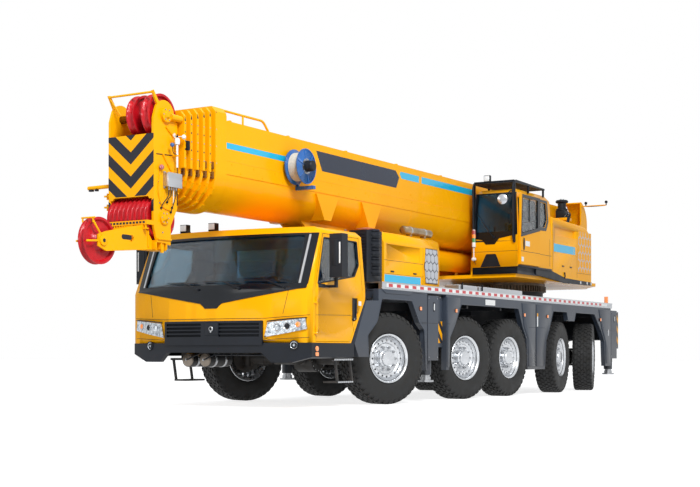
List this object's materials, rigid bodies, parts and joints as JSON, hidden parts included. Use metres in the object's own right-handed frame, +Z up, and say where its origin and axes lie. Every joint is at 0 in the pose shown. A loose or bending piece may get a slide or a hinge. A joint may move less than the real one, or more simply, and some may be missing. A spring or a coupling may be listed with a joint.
{
  "type": "all-terrain crane",
  "caption": "Five-axle all-terrain crane with low full-width cab, stowed telescopic boom, slewing upper with operator's cab and sliding outriggers.",
  "frame": {"origin": "on the ground, centred in length and width under the whole machine", "axes": "+X forwards along the stowed boom, +Y to the vehicle's left, +Z up"},
  "size_m": [14.92, 3.51, 3.975],
  "materials": {
    "yellow": "gloss crane yellow enamel",
    "fender": "satin blue-grey chassis paint",
    "black": "moulded black trim and dark paint",
    "tyre": "black tyre rubber, rim in silver paint",
    "bright": "silver aluminium",
    "steel": "ground and machined steel",
    "sheave": "red enamel sheaves and drum",
    "glass": "tinted safety glass",
    "blue": "blue enamel reel"
  },
  "bodies": {
    "carrier": {"chassis_frame": "fender", "axle_beams": "fender", "deck": "bright", "fenders": "fender", "cab_shell": "yellow", "cab_glass": "glass", "cab_interior": "black", "front_bumper": "black", "lamps": "bright", "cab_steps": "black", "engine_hood": "yellow", "engine": "black", "slew_ring": "steel"},
    "knuckle_1_left": {"knuckle_1_left": "fender"},
    "wheel_1_left": {"wheel_1_left": "tyre"},
    "knuckle_1_right": {"knuckle_1_right": "fender"},
    "wheel_1_right": {"wheel_1_right": "tyre"},
    "knuckle_2_left": {"knuckle_2_left": "fender"},
    "wheel_2_left": {"wheel_2_left": "tyre"},
    "knuckle_2_right": {"knuckle_2_right": "fender"},
    "wheel_2_right": {"wheel_2_right": "tyre"},
    "knuckle_3_left": {"knuckle_3_left": "fender"},
    "wheel_3_left": {"wheel_3_left": "tyre"},
    "knuckle_3_right": {"knuckle_3_right": "fender"},
    "wheel_3_right": {"wheel_3_right": "tyre"},
    "knuckle_4_left": {"knuckle_4_left": "fender"},
    "wheel_4_left": {"wheel_4_left": "tyre"},
    "knuckle_4_right": {"knuckle_4_right": "fender"},
    "wheel_4_right": {"wheel_4_right": "tyre"},
    "knuckle_5_left": {"knuckle_5_left": "fender"},
    "wheel_5_left": {"wheel_5_left": "tyre"},
    "knuckle_5_right": {"knuckle_5_right": "fender"},
    "wheel_5_right": {"wheel_5_right": "tyre"},
    "outrigger_beam_front_left": {"outrigger_beam_front_left": "fender"},
    "jack_leg_front_left": {"jack_leg_front_left": "steel"},
    "outrigger_beam_front_right": {"outrigger_beam_front_right": "fender"},
    "jack_leg_front_right": {"jack_leg_front_right": "steel"},
    "outrigger_beam_rear_left": {"outrigger_beam_rear_left": "fender"},
    "jack_leg_rear_left": {"jack_leg_rear_left": "steel"},
    "outrigger_beam_rear_right": {"outrigger_beam_rear_right": "fender"},
    "jack_leg_rear_right": {"jack_leg_rear_right": "steel"},
    "turntable": {"turntable_frame": "yellow", "operator_cab": "yellow", "operator_glass": "glass", "machinery_housing": "yellow", "hoist_winch": "sheave"},
    "boom_base": {"boom_base": "yellow", "hose_reel": "blue"},
    "lift_barrel": {"lift_barrel": "yellow"},
    "lift_rod": {"lift_rod": "steel"},
    "boom_section_1": {"boom_section_1": "yellow"},
    "boom_section_2": {"boom_section_2": "yellow"},
    "boom_section_3": {"boom_section_3": "yellow"},
    "boom_section_4": {"boom_section_4": "yellow"},
    "boom_section_5": {"boom_section_5": "yellow"},
    "boom_section_6": {"boom_section_6": "yellow", "head_sheaves": "sheave"},
    "cab_door_left": {"cab_door_left": "yellow"},
    "cab_door_right": {"cab_door_right": "yellow"},
    "operator_door": {"operator_door": "yellow"}
  },
  "joints": [
    {"name": "steer_1_left", "type": "hinge", "parent": "carrier", "child": "knuckle_1_left", "pos_m": [2.28, 1.1295, 0.665], "axis": [0, 0, 1], "range_deg": [-19, 61]},
    {"name": "roll_1_left", "type": "hinge", "parent": "knuckle_1_left", "child": "wheel_1_left", "pos_m": [2.34379, 1.29568, 0.665], "axis": [0.3584, 0.9336, 0], "continuous": true},
    {"name": "steer_1_right", "type": "hinge", "parent": "carrier", "child": "knuckle_1_right", "pos_m": [2.28, -1.1295, 0.665], "axis": [0, 0, 1], "range_deg": [-19, 61]},
    {"name": "roll_1_right", "type": "hinge", "parent": "knuckle_1_right", "child": "wheel_1_right", "pos_m": [2.21621, -1.29568, 0.665], "axis": [0.3584, 0.9336, 0], "continuous": true},
    {"name": "steer_2_left", "type": "hinge", "parent": "carrier", "child": "knuckle_2_left", "pos_m": [-0.16, 1.1295, 0.665], "axis": [0, 0, 1], "range_deg": [-11.78, 37.82]},
    {"name": "roll_2_left", "type": "hinge", "parent": "knuckle_2_left", "child": "wheel_2_left", "pos_m": [-0.1199, 1.30292, 0.665], "axis": [0.2253, 0.9743, 0], "continuous": true},
    {"name": "steer_2_right", "type": "hinge", "parent": "carrier", "child": "knuckle_2_right", "pos_m": [-0.16, -1.1295, 0.665], "axis": [0, 0, 1], "range_deg": [-11.78, 37.82]},
    {"name": "roll_2_right", "type": "hinge", "parent": "knuckle_2_right", "child": "wheel_2_right", "pos_m": [-0.2001, -1.30292, 0.665], "axis": [0.2253, 0.9743, 0], "continuous": true},
    {"name": "steer_3_left", "type": "hinge", "parent": "carrier", "child": "knuckle_3_left", "pos_m": [-1.81, 1.1295, 0.665], "axis": [0, 0, 1], "range_deg": [-3.99, 12.81]},
    {"name": "roll_3_left", "type": "hinge", "parent": "knuckle_3_left", "child": "wheel_3_left", "pos_m": [-1.79631, 1.30697, 0.665], "axis": [0.0769, 0.997, 0], "continuous": true},
    {"name": "steer_3_right", "type": "hinge", "parent": "carrier", "child": "knuckle_3_right", "pos_m": [-1.81, -1.1295, 0.665], "axis": [0, 0, 1], "range_deg": [-3.99, 12.81]},
    {"name": "roll_3_right", "type": "hinge", "parent": "knuckle_3_right", "child": "wheel_3_right", "pos_m": [-1.82369, -1.30697, 0.665], "axis": [0.0769, 0.997, 0], "continuous": true},
    {"name": "steer_4_left", "type": "hinge", "parent": "carrier", "child": "knuckle_4_left", "pos_m": [-4.11, 1.1295, 0.665], "axis": [0, 0, 1], "range_deg": [-23.18, 7.22]},
    {"name": "roll_4_left", "type": "hinge", "parent": "knuckle_4_left", "child": "wheel_4_left", "pos_m": [-4.13471, 1.30578, 0.665], "axis": [-0.1388, 0.9903, 0], "continuous": true},
    {"name": "steer_4_right", "type": "hinge", "parent": "carrier", "child": "knuckle_4_right", "pos_m": [-4.11, -1.1295, 0.665], "axis": [0, 0, 1], "range_deg": [-23.18, 7.22]},
    {"name": "roll_4_right", "type": "hinge", "parent": "knuckle_4_right", "child": "wheel_4_right", "pos_m": [-4.08529, -1.30578, 0.665], "axis": [-0.1388, 0.9903, 0], "continuous": true},
    {"name": "steer_5_left", "type": "hinge", "parent": "carrier", "child": "knuckle_5_left", "pos_m": [-5.76, 1.1295, 0.665], "axis": [0, 0, 1], "range_deg": [-50.63, 15.77]},
    {"name": "roll_5_left", "type": "hinge", "parent": "knuckle_5_left", "child": "wheel_5_left", "pos_m": [-5.81332, 1.29933, 0.665], "axis": [-0.2995, 0.9541, 0], "continuous": true},
    {"name": "steer_5_right", "type": "hinge", "parent": "carrier", "child": "knuckle_5_right", "pos_m": [-5.76, -1.1295, 0.665], "axis": [0, 0, 1], "range_deg": [-50.63, 15.77]},
    {"name": "roll_5_right", "type": "hinge", "parent": "knuckle_5_right", "child": "wheel_5_right", "pos_m": [-5.70668, -1.29933, 0.665], "axis": [-0.2995, 0.9541, 0], "continuous": true},
    {"name": "outrigger_front_left", "type": "slide", "parent": "carrier", "child": "outrigger_beam_front_left", "axis": [0, 1, 0], "range_m": [0, 2.1]},
    {"name": "jack_front_left", "type": "slide", "parent": "outrigger_beam_front_left", "child": "jack_leg_front_left", "axis": [0, 0, -1], "range_m": [0, 0.6]},
    {"name": "outrigger_front_right", "type": "slide", "parent": "carrier", "child": "outrigger_beam_front_right", "axis": [0, -1, 0], "range_m": [0, 2.1]},
    {"name": "jack_front_right", "type": "slide", "parent": "outrigger_beam_front_right", "child": "jack_leg_front_right", "axis": [0, 0, -1], "range_m": [0, 0.6]},
    {"name": "outrigger_rear_left", "type": "slide", "parent": "carrier", "child": "outrigger_beam_rear_left", "axis": [0, 1, 0], "range_m": [0, 2.1]},
    {"name": "jack_rear_left", "type": "slide", "parent": "outrigger_beam_rear_left", "child": "jack_leg_rear_left", "axis": [0, 0, -1], "range_m": [0, 0.6]},
    {"name": "outrigger_rear_right", "type": "slide", "parent": "carrier", "child": "outrigger_beam_rear_right", "axis": [0, -1, 0], "range_m": [0, 2.1]},
    {"name": "jack_rear_right", "type": "slide", "parent": "outrigger_beam_rear_right", "child": "jack_leg_rear_right", "axis": [0, 0, -1], "range_m": [0, 0.6]},
    {"name": "slew", "type": "hinge", "parent": "carrier", "child": "turntable", "pos_m": [-4.57, 0, 2.085], "axis": [0, 0, 1], "continuous": true},
    {"name": "boom_luff", "type": "hinge", "parent": "turntable", "child": "boom_base", "pos_m": [-6.62, 0, 3.42], "axis": [0, -1, 0], "range_deg": [0, 82]},
    {"name": "lift_swing", "type": "hinge", "parent": "turntable", "child": "lift_barrel", "pos_m": [-3.32, 0, 2.42], "axis": [0, -1, 0], "range_deg": [0, 97.18]},
    {"name": "lift_stroke", "type": "slide", "parent": "lift_barrel", "child": "lift_rod", "axis": [1, 0, -0.0077], "range_m": [0, 4.1369]},
    {"name": "telescope_1", "type": "slide", "parent": "boom_base", "child": "boom_section_1", "axis": [1, 0, 0], "range_m": [0, 8.9]},
    {"name": "telescope_2", "type": "slide", "parent": "boom_section_1", "child": "boom_section_2", "axis": [1, 0, 0], "range_m": [0, 8.9]},
    {"name": "telescope_3", "type": "slide", "parent": "boom_section_2", "child": "boom_section_3", "axis": [1, 0, 0], "range_m": [0, 8.9]},
    {"name": "telescope_4", "type": "slide", "parent": "boom_section_3", "child": "boom_section_4", "axis": [1, 0, 0], "range_m": [0, 8.9]},
    {"name": "telescope_5", "type": "slide", "parent": "boom_section_4", "child": "boom_section_5", "axis": [1, 0, 0], "range_m": [0, 8.9]},
    {"name": "telescope_6", "type": "slide", "parent": "boom_section_5", "child": "boom_section_6", "axis": [1, 0, 0], "range_m": [0, 8.9]},
    {"name": "door_left", "type": "hinge", "parent": "carrier", "child": "cab_door_left", "pos_m": [4.433, 1.512, 1.25], "axis": [0, 0, -1], "range_deg": [0, 70]},
    {"name": "door_right", "type": "hinge", "parent": "carrier", "child": "cab_door_right", "pos_m": [4.433, -1.512, 1.25], "axis": [0, 0, 1], "range_deg": [0, 70]},
    {"name": "operator_door_slide", "type": "slide", "parent": "turntable", "child": "operator_door", "axis": [-1, 0, 0], "range_m": [0, 0.72]}
  ],
  "couplings": [
    {"joint": "steer_1_right", "follows": "steer_1_left", "ratio": 1},
    {"joint": "steer_2_left", "follows": "steer_1_left", "ratio": 0.62},
    {"joint": "steer_2_right", "follows": "steer_1_left", "ratio": 0.62},
    {"joint": "steer_3_left", "follows": "steer_1_left", "ratio": 0.21},
    {"joint": "steer_3_right", "follows": "steer_1_left", "ratio": 0.21},
    {"joint": "steer_4_left", "follows": "steer_1_left", "ratio": -0.38},
    {"joint": "steer_4_right", "follows": "steer_1_left", "ratio": -0.38},
    {"joint": "steer_5_left", "follows": "steer_1_left", "ratio": -0.83},
    {"joint": "steer_5_right", "follows": "steer_1_left", "ratio": -0.83},
    {"joint": "lift_swing", "follows": "boom_luff", "ratio": 1.1845},
    {"joint": "lift_stroke", "follows": "boom_luff", "m_per_rad": 2.8899}
  ]
}
